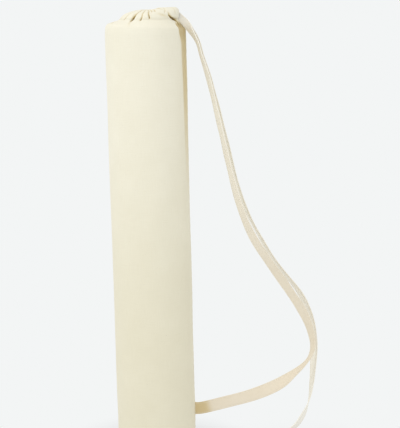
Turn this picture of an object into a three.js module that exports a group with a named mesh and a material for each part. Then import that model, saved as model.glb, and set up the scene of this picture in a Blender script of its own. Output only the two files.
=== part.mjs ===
// A drawstring bag of natural cotton canvas for a rolled mat, standing on its round base.
// +Z runs up the bag, the side seam and the strap are at +X, the front is at -Y; millimetres.
import * as THREE from "three";

const RADIUS = 62.5;          // outside radius of the filled tube
const SHOULDER = 670;         // height of the shoulder, where the tube turns in to the gathers
const CROWN = 28.5;           // rise of the gathered rim over the shoulder
const CLOTH = 1.4;            // thickness of the canvas
const GAP = 0.3;              // space left between two pieces
const FOOT_ROUND = 6.5;       // height of the tube's rounded bottom edge
const LIP = 5.7;              // how far the tube turns in under itself
const PANEL = 1.5;            // thickness of the round base panel
const RIM_ROUND = 1.6;        // how far the folded rim rounds up over its last row
const PLEAT_RISE = 1.2;       // how far a full pleat stands out
const PLEAT_DIP = 1.8;        // how far a full fold line sinks in
const FULL_PLEAT = 9;         // length round the ring of a pleat that rises and dips in full
const NOTCH = 7.5;            // half the gap in the casing at the seam, in degrees
const TAPE_WIDTH = 20;        // the strap, a flat tape sewn of the same canvas
const TAPE_THICK = 1.6;
const TAPE_BUNCHED = 0.35;    // share of its width that the tape keeps in the casing
const TAPE_SLACK = 1;         // room in the casing on either face of the tape
const TAPE_TURN = 2.8;        // radius of the tape's turn out of the casing
const SWING = 197.2;          // how far the strap's far point stands off the side seam
const TUBE_SIDES = 72;        // flats round the straight tube
const STEPS = 5;              // flats from one fold line to the next
const TAPE_STEPS = 4;         // tape sections from one station to the next

// From the casing's outside to its inside, and to the middle of the tape between its layers.
const CASING_DEPTH = PLEAT_DIP + 2 * CLOTH + TAPE_THICK + 2 * TAPE_SLACK;
const TAPE_DEPTH = CASING_DEPTH - CLOTH - TAPE_SLACK - TAPE_THICK / 2;

const CANVAS = new THREE.MeshStandardMaterial({ color: 0xe6dfc8, roughness: 0.9, name: "canvas" });
const TAPE = new THREE.MeshStandardMaterial({ color: 0xe2d8c0, roughness: 0.9, name: "tape" });

// The tube's rounded bottom edge: height, and inset from the side, as shares of FOOT_ROUND.
const FOOT_ROWS = [
  { up: 0, inset: 0.68 },
  { up: 0.14, inset: 0.37 },
  { up: 0.45, inset: 0.125 },
  { up: 1, inset: 0 },
];

// The gathered top. rise: share of CROWN over the shoulder; radius and shift: shares of RADIUS;
// dip: how much lower the seam side lies, a share of CROWN; gather: share of the pleats' depth.
const CROWN_ROWS = [
  { rise: -1.6, radius: 1, shift: 0, dip: 0, gather: 0 },
  { rise: -0.6, radius: 1, shift: 0, dip: 0, gather: 0 },
  { rise: -0.28, radius: 0.997, shift: 0, dip: 0.035, gather: 0 },
  { rise: -0.04, radius: 0.979, shift: 0.002, dip: 0.08, gather: 0.05 },
  { rise: 0.09, radius: 0.932, shift: 0.006, dip: 0.1, gather: 0.2 },
  { rise: 0.18, radius: 0.866, shift: 0.03, dip: 0.08, gather: 0.45 },
  { rise: 0.28, radius: 0.797, shift: 0.066, dip: 0.05, gather: 0.75 },
  { rise: 0.375, radius: 0.735, shift: 0.102, dip: 0.02, gather: 1 },
  { rise: 0.53, radius: 0.722, shift: 0.137, dip: 0, gather: 1 },
  { rise: 0.69, radius: 0.678, shift: 0.186, dip: 0, gather: 1 },
  { rise: 0.84, radius: 0.588, shift: 0.275, dip: 0, gather: 1 },
  { rise: 0.945, radius: 0.508, shift: 0.325, dip: 0, gather: 0.95 },
  { rise: 1, radius: 0.458, shift: 0.343, dip: 0, gather: 0.85 },
];
const SHOULDER_ROW = 1;       // the last row of the straight tube
const STITCH_ROW = 7;         // the row sewn round under the casing
const CHANNEL_ROW = 9.1;      // where the tape runs in the casing
const RIM_ROW = 12;           // the row at the folded rim

// The fold lines between the pleats, round from the seam by way of the front.
// foot and head: degrees at the stitched row and at the rim; depth: share of a full fold.
const FOLDS = [
  { foot: 28, head: 50, depth: 1 },
  { foot: 54, head: 74, depth: 0.45 },
  { foot: 70, head: 98, depth: 0.5 },
  { foot: 79, head: 107, depth: 0.6 },
  { foot: 88, head: 115, depth: 0.9 },
  { foot: 105, head: 123, depth: 0.7 },
  { foot: 124, head: 137, depth: 1 },
  { foot: 143, head: 153, depth: 0.8 },
  { foot: 160, head: 167, depth: 0.6 },
  { foot: 176, head: 180, depth: 0.7 },
  { foot: 193, head: 193, depth: 0.8 },
  { foot: 209, head: 206, depth: 0.7 },
  { foot: 226, head: 220, depth: 1 },
  { foot: 243, head: 234, depth: 0.7 },
  { foot: 260, head: 247, depth: 0.8 },
  { foot: 277, head: 261, depth: 0.6 },
  { foot: 294, head: 277, depth: 0.9 },
  { foot: 312, head: 295, depth: 0.6 },
  { foot: 331, head: 317, depth: 1 },
];

// The two hanging strands, from the casing down to the side seam.
// out: share of SWING off the seam; up: share of SHOULDER; rise: share of CROWN on top of it;
// side: towards the back, a share of TAPE_WIDTH; turn: degrees that the face is turned from
// the front, less than 0 to the left; width: share of TAPE_WIDTH.
const FRONT_STRAND = [
  { out: -0.024, up: 1, rise: 0.385, side: -0.135, turn: -14, width: 0.45 },
  { out: 0.0105, up: 1, rise: 0.125, side: -0.17, turn: -40, width: 0.6 },
  { out: 0.0405, up: 1, rise: -0.23, side: -0.26, turn: -56, width: 0.85 },
  { out: 0.072, up: 0.974, rise: 0, side: -0.38, turn: -69, width: 1 },
  { out: 0.1, up: 0.9554, rise: 0, side: -0.46, turn: -76, width: 1 },
  { out: 0.119, up: 0.932, rise: 0, side: -0.5, turn: -77, width: 1 },
  { out: 0.18, up: 0.8688, rise: 0, side: -0.6, turn: -72, width: 1 },
  { out: 0.26, up: 0.756, rise: 0, side: -0.6, turn: -71, width: 1 },
  { out: 0.342, up: 0.6424, rise: 0, side: -0.6, turn: -67, width: 1 },
  { out: 0.412, up: 0.5657, rise: 0, side: -0.6, turn: -60, width: 1 },
  { out: 0.504, up: 0.5004, rise: 0, side: -0.6, turn: -52, width: 1 },
  { out: 0.631, up: 0.4393, rise: 0, side: -0.6, turn: -47, width: 1 },
  { out: 0.782, up: 0.3728, rise: 0, side: -0.6, turn: -45, width: 1 },
  { out: 0.9, up: 0.3149, rise: 0, side: -0.6, turn: -47, width: 1 },
  { out: 0.961, up: 0.2657, rise: 0, side: -0.6, turn: -60, width: 1 },
  { out: 0.972, up: 0.2269, rise: 0, side: -0.6, turn: -74, width: 1 },
  { out: 0.922, up: 0.1945, rise: 0, side: -0.6, turn: -75, width: 1 },
  { out: 0.818, up: 0.1655, rise: 0, side: -0.6, turn: -52, width: 1 },
  { out: 0.676, up: 0.138, rise: 0, side: -0.55, turn: -12, width: 1 },
  { out: 0.473, up: 0.1135, rise: 0, side: -0.45, turn: -2, width: 1 },
  { out: 0.239, up: 0.0945, rise: 0, side: -0.25, turn: 0, width: 1 },
  { out: 0.061, up: 0.0812, rise: 0, side: -0.04, turn: 0, width: 1 },
  { out: 0, up: 0.0806, rise: 0, side: 0, turn: 0, width: 1 },
];
const BACK_STRAND = [
  { out: -0.021, up: 1, rise: 0.4, side: 0.135, turn: -14, width: 0.45 },
  { out: 0.018, up: 1, rise: 0.12, side: 0.17, turn: -42, width: 0.6 },
  { out: 0.047, up: 1, rise: -0.25, side: 0.26, turn: -58, width: 0.84 },
  { out: 0.081, up: 0.9742, rise: 0, side: 0.38, turn: -70, width: 1 },
  { out: 0.11, up: 0.9554, rise: 0, side: 0.46, turn: -76, width: 1 },
  { out: 0.131, up: 0.9325, rise: 0, side: 0.5, turn: -76, width: 1 },
  { out: 0.196, up: 0.8667, rise: 0, side: 0.6, turn: -74, width: 1 },
  { out: 0.289, up: 0.7528, rise: 0, side: 0.6, turn: -74, width: 1 },
  { out: 0.375, up: 0.6378, rise: 0, side: 0.6, turn: -74, width: 1 },
  { out: 0.457, up: 0.5601, rise: 0, side: 0.6, turn: -75, width: 1 },
  { out: 0.571, up: 0.4915, rise: 0, side: 0.6, turn: -75, width: 1 },
  { out: 0.714, up: 0.4248, rise: 0, side: 0.6, turn: -71, width: 1 },
  { out: 0.877, up: 0.3587, rise: 0, side: 0.6, turn: -66, width: 1 },
  { out: 0.967, up: 0.2985, rise: 0, side: 0.6, turn: -64, width: 1 },
  { out: 0.996, up: 0.2388, rise: 0, side: 0.6, turn: -64, width: 1 },
  { out: 0.989, up: 0.1881, rise: 0, side: 0.6, turn: -66, width: 1 },
  { out: 0.972, up: 0.1313, rise: 0, side: 0.6, turn: -76, width: 1 },
  { out: 0.943, up: 0.0851, rise: 0, side: 0.6, turn: -98, width: 1 },
  { out: 0.884, up: 0.0443, rise: 0, side: 0.6, turn: -122, width: 1 },
  { out: 0.81, up: 0.0185, rise: 0, side: 0.6, turn: -124, width: 1 },
  { out: 0.7, up: 0.0066, rise: 0, side: 0.58, turn: -102, width: 1 },
  { out: 0.55, up: 0.0023, rise: 0, side: 0.5, turn: -91, width: 1 },
  { out: 0.33, up: 0.0019, rise: 0, side: 0.3, turn: -90, width: 1 },
  { out: 0.12, up: 0.0032, rise: 0, side: 0.08, turn: -90, width: 1 },
  { out: 0, up: 0.0092, rise: 0, side: 0, turn: -90, width: 1 },
];

// A smooth curve through p1 and p2, with p0 and p3 beside them.
function between(p0, p1, p2, p3, t) {
  const bend = 2 * p0 - 5 * p1 + 4 * p2 - p3;
  return p1 + 0.5 * t * (p2 - p0 + t * (bend + t * (3 * (p1 - p2) + p3 - p0)));
}

// One column of a table at a place between its rows.
function column(rows, place, name) {
  const last = rows.length - 1;
  const i = Math.min(Math.floor(place), last - 1);
  const at = (k) => rows[Math.max(0, Math.min(last, k))][name];
  return between(at(i - 1), at(i), at(i + 1), at(i + 2), place - i);
}

const mix = (a, b, t) => a + (b - a) * t;
const radians = (degrees) => (degrees * Math.PI) / 180;

// The columns round the crown: each lies a share t of the way from fold i to fold i + 1.
function casingColumns() {
  const edges = [{ foot: NOTCH, head: NOTCH, depth: 0 }, ...FOLDS,
    { foot: 360 - NOTCH, head: 360 - NOTCH, depth: 0 }];
  const columns = [];
  for (let i = 0; i < edges.length - 1; i++) {
    for (let s = 0; s < STEPS; s++) columns.push({ from: edges[i], to: edges[i + 1], t: s / STEPS });
  }
  const end = edges[edges.length - 1];
  columns.push({ from: edges[edges.length - 2], to: end, t: 1 });
  return columns;
}

// The tube has three columns more, across the notch.
function tubeColumns() {
  const start = { foot: 360 - NOTCH, head: 360 - NOTCH, depth: 0 };
  const end = { foot: 360 + NOTCH, head: 360 + NOTCH, depth: 0 };
  const across = [0.25, 0.5, 0.75].map((t) => ({ from: start, to: end, t }));
  return [...casingColumns(), ...across];
}

const angleOf = (col, lean) => radians(mix(
  mix(col.from.foot, col.from.head, lean), mix(col.to.foot, col.to.head, lean), col.t));

// How far along from the stitched row to the rim a row of the crown lies.
function leanAt(row) {
  const share = (row - STITCH_ROW) / (RIM_ROW - STITCH_ROW);
  return Math.max(0, Math.min(1, share));
}

// The ungathered surface of the crown.
function smoothPoint(angle, row) {
  const radius = RADIUS * column(CROWN_ROWS, row, "radius");
  const shift = RADIUS * column(CROWN_ROWS, row, "shift");
  const rise = column(CROWN_ROWS, row, "rise") - column(CROWN_ROWS, row, "dip") * Math.cos(angle);
  return new THREE.Vector3(
    shift + radius * Math.cos(angle), -radius * Math.sin(angle), SHOULDER + CROWN * rise);
}

// The direction up the crown's surface, and the one out of it.
function upAlong(angle, row) {
  const a = smoothPoint(angle, Math.max(0, row - 0.2));
  const b = smoothPoint(angle, Math.min(RIM_ROW, row + 0.2));
  return b.sub(a).normalize();
}
function outOf(angle, row) {
  const step = 0.02;
  const round = smoothPoint(angle + step, row).sub(smoothPoint(angle - step, row));
  return upAlong(angle, row).cross(round).normalize();
}

// How far a pleat stands out of the smooth surface: round at its middle, sharp at its fold lines.
function pleat(col, row) {
  const lean = leanAt(row);
  const from = mix(col.from.foot, col.from.head, lean);
  const to = mix(col.to.foot, col.to.head, lean);
  const length = radians(to - from) * RADIUS * column(CROWN_ROWS, row, "radius");
  const full = Math.min(1, length / FULL_PLEAT) * column(CROWN_ROWS, row, "gather");
  const crease = (t) => Math.max(0, 1 - t / 0.4) ** 2;
  const sunk = col.from.depth * crease(col.t) + col.to.depth * crease(1 - col.t);
  const puff = Math.sin(Math.PI * col.t) * Math.max(col.from.depth, col.to.depth);
  return full * (PLEAT_RISE * puff - PLEAT_DIP * sunk);
}

// A point of the crown: depth under the outside, and how much of the pleats it follows.
function crownPoint(col, row, depth, follow) {
  const angle = angleOf(col, leanAt(row));
  const off = follow * pleat(col, row) - depth;
  return smoothPoint(angle, row).addScaledVector(outOf(angle, row), off);
}

// A mesh from rings of points and the faces between them.
function meshOf(name, rings, index, material) {
  const geometry = new THREE.BufferGeometry();
  const flat = rings.flat().flatMap((p) => [p.x, p.y, p.z]);
  geometry.setAttribute("position", new THREE.Float32BufferAttribute(flat, 3));
  geometry.setIndex(index);
  geometry.computeVertexNormals();
  const mesh = new THREE.Mesh(geometry, material);
  mesh.name = name;
  return mesh;
}

// The two faces of the four-sided patch a, b, c, d.
const patch = (a, b, c, d) => [a, c, b, a, d, c];

// The faces of a wall that goes right round, each ring of points being one cut through it.
function roundFaces(rings) {
  const count = rings[0].length;
  const index = [];
  rings.forEach((_, r) => {
    const here = r * count;
    const beside = ((r + 1) % rings.length) * count;
    for (let k = 0; k < count; k++) {
      const next = (k + 1) % count;
      index.push(...patch(here + k, beside + k, beside + next, here + next));
    }
  });
  return index;
}

// The straight tube's wall, from its lip under the base up to the gathered top.
function bodyTube() {
  const top = SHOULDER + CROWN * CROWN_ROWS[SHOULDER_ROW].rise - GAP;
  const rings = Array.from({ length: TUBE_SIDES }, (_, side) => {
    const angle = (2 * Math.PI * side) / TUBE_SIDES;
    const ring = (inset, z) => {
      const radius = RADIUS - inset;
      return new THREE.Vector3(radius * Math.cos(angle), -radius * Math.sin(angle), z);
    };
    const foot = FOOT_ROWS.map((row) => ring(FOOT_ROUND * row.inset, FOOT_ROUND * row.up));
    const turnIn = ring(CLOTH + FOOT_ROUND * 0.25, CLOTH + FOOT_ROUND * 0.15);
    const inside = [ring(CLOTH, top), ring(CLOTH, FOOT_ROUND), turnIn, ring(LIP, CLOTH)];
    return [ring(LIP, 0), ...foot, ring(0, top), ...inside];
  });
  return meshOf("body_tube", rings, roundFaces(rings), CANVAS);
}

// The same cloth over the shoulder, where it gathers in to the row sewn under the casing.
function gatheredTop() {
  const rings = tubeColumns().map((col) => {
    const outside = [];
    const inside = [];
    for (let row = SHOULDER_ROW; row <= STITCH_ROW; row++) {
      outside.push(crownPoint(col, row, 0, 1));
      inside.push(crownPoint(col, row, CLOTH, 1));
    }
    return [...outside, ...inside.reverse()];
  });
  return meshOf("gathered_top", rings, roundFaces(rings), CANVAS);
}

// The casing: a hollow pleated band, open at both its ends beside the seam.
function casing() {
  const low = STITCH_ROW + 0.1;
  const rows = [low, 8, 9, 10, 11, RIM_ROW];
  const hollow = [low + 0.45, 8.2, 9, 10, 10.8, 11.5];
  const rings = casingColumns().map((col) => {
    const angle = angleOf(col, 1);
    const skin = rows.map((row) => crownPoint(col, row, 0, 1));
    const rim = crownPoint(col, RIM_ROW, CASING_DEPTH / 2, 0.6);
    rim.addScaledVector(upAlong(angle, RIM_ROW), RIM_ROUND);
    const lining = [11.9, 10.8, 9, low].map((row) => crownPoint(col, row, CASING_DEPTH, 0.15));
    const under = hollow.map((row) => crownPoint(col, row, CLOTH, 1));
    const top = crownPoint(col, 11.7, CASING_DEPTH / 2, 0.6);
    const over = [11.4, 10.6, 9, low + 0.45].map(
      (row) => crownPoint(col, row, CASING_DEPTH - CLOTH, 0.15));
    return [...skin, rim, ...lining, ...under, top, ...over];
  });
  return meshOf("casing", rings, hollowFaces(rings), CANVAS);
}

// The faces of two skins, one inside the other, that meet only at the band's two ends.
function hollowFaces(rings) {
  const count = rings[0].length;
  const half = count / 2;
  const last = (rings.length - 1) * count;
  const index = [];
  for (let k = 0; k < half; k++) {
    const next = (k + 1) % half;
    for (let here = 0; here < last; here += count) {
      const beside = here + count;
      index.push(...patch(here + k, beside + k, beside + next, here + next));
      index.push(...patch(here + half + next, beside + half + next, beside + half + k, here + half + k));
    }
    index.push(...patch(k, next, half + next, half + k));
    index.push(...patch(last + next, last + k, last + half + k, last + half + next));
  }
  return index;
}

// The round panel sewn into the lip; what the bag stands on.
function basePanel() {
  const sides = 101;
  const shape = new THREE.Shape();
  for (let k = 0; k < sides; k++) {
    const a = (2 * Math.PI * k) / sides;
    const r = RADIUS - LIP - GAP;
    if (k === 0) shape.moveTo(r, 0);
    else shape.lineTo(r * Math.cos(a), r * Math.sin(a));
  }
  const geometry = new THREE.ExtrudeGeometry(shape, { depth: PANEL, bevelEnabled: false });
  const mesh = new THREE.Mesh(geometry, CANVAS);
  mesh.name = "base_panel";
  return mesh;
}

// A strand's stations: the place of the tape's middle, its width's direction and its half width.
function strandStations(strand) {
  const read = (place, name) => column(strand, place, name);
  const at = (place) => new THREE.Vector3(
    RADIUS + GAP + SWING * read(place, "out"),
    TAPE_WIDTH * read(place, "side"),
    SHOULDER * read(place, "up") + CROWN * read(place, "rise"));
  return strand.map((row, i) => {
    const ahead = at(Math.min(i + 0.1, strand.length - 1));
    const tangent = ahead.sub(at(Math.max(i - 0.1, 0))).normalize();
    const across = new THREE.Vector3(-tangent.z, 0, tangent.x).normalize();
    const turn = radians(row.turn);
    const wide = across.multiplyScalar(Math.cos(turn)).setY(Math.sin(turn));
    return { at: at(i), wide, half: (TAPE_WIDTH * row.width) / 2 };
  });
}

// The middle of the tape between the casing's layers.
function channelPoint(angle) {
  return smoothPoint(angle, CHANNEL_ROW).addScaledVector(outOf(angle, CHANNEL_ROW), -TAPE_DEPTH);
}

// The tape's way through the casing, round from the front end of the notch to the back one.
function channelStations() {
  const half = (TAPE_WIDTH * TAPE_BUNCHED) / 2;
  const spans = 20;
  const stations = [];
  for (let k = 0; k <= spans; k++) {
    const angle = radians(mix(2 * NOTCH, 360 - 2 * NOTCH, k / spans));
    stations.push({ at: channelPoint(angle), wide: upAlong(angle, CHANNEL_ROW), half });
  }
  return stations;
}

// The turn out of the casing's end, at the front (side -1) or the back (side 1).
function exitStations(side) {
  const half = (TAPE_WIDTH * TAPE_BUNCHED) / 2;
  const end = channelPoint(radians(NOTCH));
  return [0, 45, 90].map((degrees) => {
    const x = end.x + TAPE_TURN * (1 - Math.cos(radians(degrees)));
    const y = side * (-end.y - TAPE_TURN * Math.sin(radians(degrees)));
    const z = end.z - TAPE_TURN * (1 - Math.cos(radians(degrees))) * 0.6;
    return { at: new THREE.Vector3(x, y, z), wide: new THREE.Vector3(0, 0, 1), half };
  });
}

// One tape: side seam, front strand, casing, back strand, side seam.
function strap() {
  const front = [...strandStations(FRONT_STRAND).reverse(), ...exitStations(-1).reverse()];
  const back = [...exitStations(1), ...strandStations(BACK_STRAND)];
  const stations = [...front, ...channelStations(), ...back];
  const last = stations.length - 1;
  const pick = (i) => stations[Math.max(0, Math.min(last, i))];
  const curve = (i, t, read) => between(read(pick(i - 1)), read(pick(i)), read(pick(i + 1)), read(pick(i + 2)), t);
  const vector = (i, t, key) => new THREE.Vector3(
    curve(i, t, (s) => s[key].x), curve(i, t, (s) => s[key].y), curve(i, t, (s) => s[key].z));
  const rings = [];
  for (let k = 0; k <= last * TAPE_STEPS; k++) {
    const i = Math.min(Math.floor(k / TAPE_STEPS), last - 1);
    const t = k / TAPE_STEPS - i;
    const at = vector(i, t, "at");
    const ahead = vector(i, Math.min(1, t + 0.05), "at").sub(vector(i, Math.max(0, t - 0.05), "at")).normalize();
    const wide = vector(i, t, "wide");
    wide.addScaledVector(ahead, -wide.dot(ahead)).normalize();
    const face = new THREE.Vector3().crossVectors(ahead, wide);
    const half = mix(pick(i).half, pick(i + 1).half, t);
    const corner = (w, f) => at.clone().addScaledVector(wide, w * half).addScaledVector(face, (f * TAPE_THICK) / 2);
    rings.push([corner(-1, -1), corner(1, -1), corner(1, 1), corner(-1, 1)]);
  }
  return meshOf("strap", rings, tapeFaces(rings), TAPE);
}

// The tape's four sides and its two cut ends.
function tapeFaces(rings) {
  const index = [];
  const end = 4 * (rings.length - 1);
  for (let here = 0; here < end; here += 4) {
    for (let k = 0; k < 4; k++) {
      const next = (k + 1) % 4;
      index.push(...patch(here + k, here + 4 + k, here + 4 + next, here + next));
    }
  }
  index.push(...patch(0, 1, 2, 3), ...patch(end + 3, end + 2, end + 1, end));
  return index;
}

const group = new THREE.Group();
group.add(bodyTube(), gatheredTop(), casing(), basePanel(), strap());
export default group;
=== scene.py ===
"""A drawstring bag of natural cotton canvas, standing on its round base.

Metres, in the frame's own axes: +Z runs up the bag, the side seam and the strap are at +X
and the front is at -Y.
"""

import math

import bpy
import numpy as np
from mathutils import Matrix, Vector


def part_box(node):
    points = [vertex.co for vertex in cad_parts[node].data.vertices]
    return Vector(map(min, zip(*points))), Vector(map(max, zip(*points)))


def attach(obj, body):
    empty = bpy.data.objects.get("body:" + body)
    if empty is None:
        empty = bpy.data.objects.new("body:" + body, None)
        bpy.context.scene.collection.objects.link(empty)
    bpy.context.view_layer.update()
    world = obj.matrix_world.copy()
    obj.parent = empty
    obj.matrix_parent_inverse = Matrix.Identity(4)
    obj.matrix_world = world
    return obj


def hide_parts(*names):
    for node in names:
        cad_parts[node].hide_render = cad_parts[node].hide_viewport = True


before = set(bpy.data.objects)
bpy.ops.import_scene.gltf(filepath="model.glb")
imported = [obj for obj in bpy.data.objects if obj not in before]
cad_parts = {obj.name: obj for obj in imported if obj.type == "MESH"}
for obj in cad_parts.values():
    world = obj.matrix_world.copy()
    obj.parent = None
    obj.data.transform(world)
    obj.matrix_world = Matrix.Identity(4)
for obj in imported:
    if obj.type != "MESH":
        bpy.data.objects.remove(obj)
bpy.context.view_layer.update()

MM = 0.001
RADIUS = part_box("body_tube")[1].x  # outside of the filled tube
SHOULDER = 670 * MM  # where the tube turns in to the gathers
CROWN = 28.5 * MM  # rise of the gathered rim over the shoulder
CLOTH = 1.1 * MM  # thickness of the canvas
LOWER_SHADE_TOP = 0.62  # height from which painted shade makes the canvas darker and browner downwards
TAPE_LOWER_SHADE_TOP = 0.68
LOWER_SHADE_FULL = 0.14  # height where that painted shade is at its fullest
FOOT_ROUND = 6.5 * MM  # height of the tube's rounded bottom edge
LIP = 5.7 * MM  # how far the tube turns in under itself
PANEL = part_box("base_panel")[1].z  # thickness of the round base panel
PANEL_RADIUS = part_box("base_panel")[1].x

# The gathered top, from the straight tube to the rim of the casing. rise: share of CROWN over
# the shoulder; radius and shift: shares of RADIUS; dip: how much lower the seam side lies, a
# share of CROWN.
CROWN_ROWS = {
    "rise": (-1.6, -0.6, -0.28, -0.04, 0.09, 0.18, 0.28, 0.375, 0.53, 0.69, 0.84, 0.945, 1.0),
    "radius": (1, 1, 0.997, 0.979, 0.932, 0.866, 0.797, 0.735, 0.722, 0.678, 0.588, 0.508, 0.458),
    "shift": (0, 0, 0, 0.002, 0.006, 0.03, 0.066, 0.102, 0.137, 0.186, 0.275, 0.325, 0.343),
    "dip": (0, 0, 0.035, 0.08, 0.1, 0.08, 0.05, 0.02, 0, 0, 0, 0, 0),
}
SHOULDER_ROW = 1  # the last row of the straight tube
STITCH_ROW = 7  # the row sewn round under the casing
RIM_ROW = 12  # the row at the folded rim
NOTCH = 7.5  # half the gap in the casing at the seam, in degrees

# The fold lines between the pleats, round from the seam by way of the front: degrees at the
# stitched row, halfway up the casing and at the rim, depth as a share of a full fold, and the
# row where the fold begins.
FOLDS = [
    (30, 37, 48, 0.15, 8.8),
    (56, 62, 74, 0.2, 9.4),
    (76, 84, 114, 0.4, 9.9),
    (81, 91, 124, 0.45, 9.7),
    (87, 97.5, 132, 0.75, 7.5),
    (103.5, 109.5, 138, 0.55, 6.7),
    (121, 123, 145, 1.15, 6.6),
    (143.5, 143.5, 153, 0.55, 7.0),
    (161, 161, 166, 0.35, 7.4),
    (177, 177, 180, 0.6, 6.8),
    (193, 193, 193, 0.7, 7.0),
    (209, 208, 206, 0.6, 6.7),
    (226, 223, 220, 0.9, 7.1),
    (243, 239, 234, 0.6, 6.8),
    (260, 254, 247, 0.7, 6.6),
    (277, 270, 261, 0.5, 7.2),
    (294, 287, 277, 0.8, 6.8),
    (312, 305, 295, 0.55, 7.0),
    (331, 325, 317, 0.9, 6.7),
]
MIDDLE_ROW = 9.3  # the row halfway up the casing
PLEAT_RISE = 0.8 * MM  # how far a full pleat stands out
PLEAT_DIP = 3.8 * MM  # how far a full fold line sinks in
CREASE = 1.0 * MM  # half the width of a fold line
FULL_PLEAT = 9 * MM  # a pleat this wide rises and dips in full
CASING_RUN = 90 * MM  # how far the casing's cloth runs once round its two layers
CASING_DEPTH = 8.2 * MM  # from the casing's outside to its lining
FOLD_STEP = 1.05  # degrees from one column to the next between two folds
FEWEST_STEPS = 8
NOTCH_STEPS = 12

# Creases that cross the pleats: degrees and row of each station, depth and half width there in
# millimetres.
LOBE_LINE = [
    (54, 9.3, 0.8, 1.2),
    (48.5, 8.3, 2.6, 1.4),
    (41.5, 7.6, 4.0, 1.35),
    (28, 6.95, 4.0, 1.5),
    (18, 6.5, 2.6, 2.2),
    (13, 5.6, 1.2, 3.0),
    (10, 4.4, 0.2, 3.8),
]
FREE_CREASES = [
    LOBE_LINE,
    [(119.5, 6.2, 0.6, 1.2), (121.3, 7.0, 3.4, 1.9), (122.6, 8.2, 2.6, 1.5), (126, 9.4, 0.4, 1.1)],
    [(78, 9.1, 0.2, 2.2), (64, 8.5, 0.9, 2.0), (51, 7.8, 0.3, 2.0)],
    [(97, 11.8, 0.7, 0.9), (86, 11.2, 1.3, 1.0), (75, 10.6, 0.3, 1.2)],
    [(121, 6.6, 0.9, 1.2), (116, 5.0, 0.6, 1.8), (112, 3.5, 0.2, 2.4)],
    [(167, 6.0, 0.2, 1.6), (160, 5.1, 1.0, 1.5), (153, 4.3, 0.3, 2.0)],
]
TUCK = 2.8  # millimetres that the cloth beside the side seam tucks in under the strap's exit
TUCK_SHADE = 0.5  # painted shade in the tuck beside the side seam: how dark it is, and how much darker at the very top
TUCK_SHADE_TOP = 0.1
SLACK = 0.55  # how strongly the cloth's long soft bands show
FULL_SHADE = 2.9 * MM  # a crease this deep gets the painted shade in full
LOBE_RISE = 3.2 * MM  # how far the casing's end puffs out over the strap's exit
RIM_SAG = 2.6 * MM  # how much lower the rim lies on its left half

YARN = 0.6 * MM  # from one yarn of the weave to the next
STITCH_LINE = 7.3  # the row of the stitches that hold the casing
STITCH_PITCH = 3.3 * MM
THREAD = 0.5 * MM  # thickness of the thread
THREAD_SHARE = 0.78  # share of the pitch that a stitch covers
BACK_LOWER_SHADE = 0.1  # share of the front strand's painted lower shade that the back strand gets: painted light that keeps the back strand pale
END_SHADE = 0.5  # painted shadow of the bag: how dark the front strand is where it's sewn in
END_SHADOW_GONE = 32 * MM  # where that painted shadow has faded
END_SHADOW_FADES = 18 * MM  # where it begins to fade
TAPE_SEAM = 0.78  # share of the tape's half width where its edges are sewn

PANEL_INTO_LIP = 0.2 * MM  # how far the round panel's edge reaches into the lip
CENTRE = 0.0005  # the share of its radius at which the panel's middle is closed

SEAM_WIDTH = 6 * MM  # the side seam's allowance, which shows through as a low step
SEAM_RISE = 0.45 * MM
SEAM_GROOVE = 0.5 * MM
STRAP_END = 54 * MM  # height where the front strand is sewn into the seam

TAPE_WIDTH = 20 * MM
TAPE_THICK = 1.6 * MM
TAPE_BUNCHED = 0.35  # share of its width that the tape keeps in the casing
TAPE_TURN = 2.8 * MM  # radius of its turn out of the casing
TAPE_STEPS = 12  # steps of the tape's path from one station to the next
SEWN_IN = 4  # steps at the tape's ends that have no stitches, because they lie in the seam
TAPE_DEPTH = 5.0 * MM  # from the casing's outside to the middle of the tape
CHANNEL_ROW = 9.1  # the row that the tape follows inside the casing
SWING = 197.2 * MM  # how far the strap's far point stands off the side seam
GAP = 0.3 * MM

# The two hanging strands, from the casing down to the side seam. out: share of SWING off the
# seam; up: share of SHOULDER; rise: share of CROWN on top of it; side: towards the back, a
# share of TAPE_WIDTH; turn: degrees that the face is turned from the front, less than 0 to the
# left; width: share of TAPE_WIDTH.
FRONT_STRAND = [
    (-0.026, 1, 0.37, -0.135, -8, 0.55),
    (0.0085, 1, 0.105, -0.17, -22, 0.64),
    (0.0395, 1, -0.235, -0.26, -54, 0.7),
    (0.072, 0.974, 0, -0.38, -69, 0.8),
    (0.1, 0.9554, 0, -0.46, -76, 0.92),
    (0.119, 0.932, 0, -0.5, -77, 1),
    (0.18, 0.8688, 0, -0.6, -72, 1),
    (0.26, 0.756, 0, -0.6, -71, 1),
    (0.342, 0.6424, 0, -0.6, -67, 1),
    (0.412, 0.5657, 0, -0.6, -60, 1),
    (0.504, 0.5004, 0, -0.6, -52, 1),
    (0.631, 0.4393, 0, -0.6, -47, 1),
    (0.782, 0.3728, 0, -0.6, -45, 1),
    (0.9, 0.3149, 0, -0.6, -47, 1),
    (0.961, 0.2657, 0, -0.6, -61, 1),
    (0.972, 0.2269, 0, -0.6, -76, 1),
    (0.924, 0.1955, 0, -0.6, -87, 1),
    (0.818, 0.167, 0, -0.6, -72, 1),
    (0.676, 0.138, 0, -0.55, -32, 1),
    (0.473, 0.1135, 0, -0.45, -6, 1),
    (0.239, 0.0945, 0, -0.25, 0, 1),
    (0.061, 0.0812, 0, -0.04, 0, 1),
    (-0.006, 0.0805, 0, 0, 0, 1),
]
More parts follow.
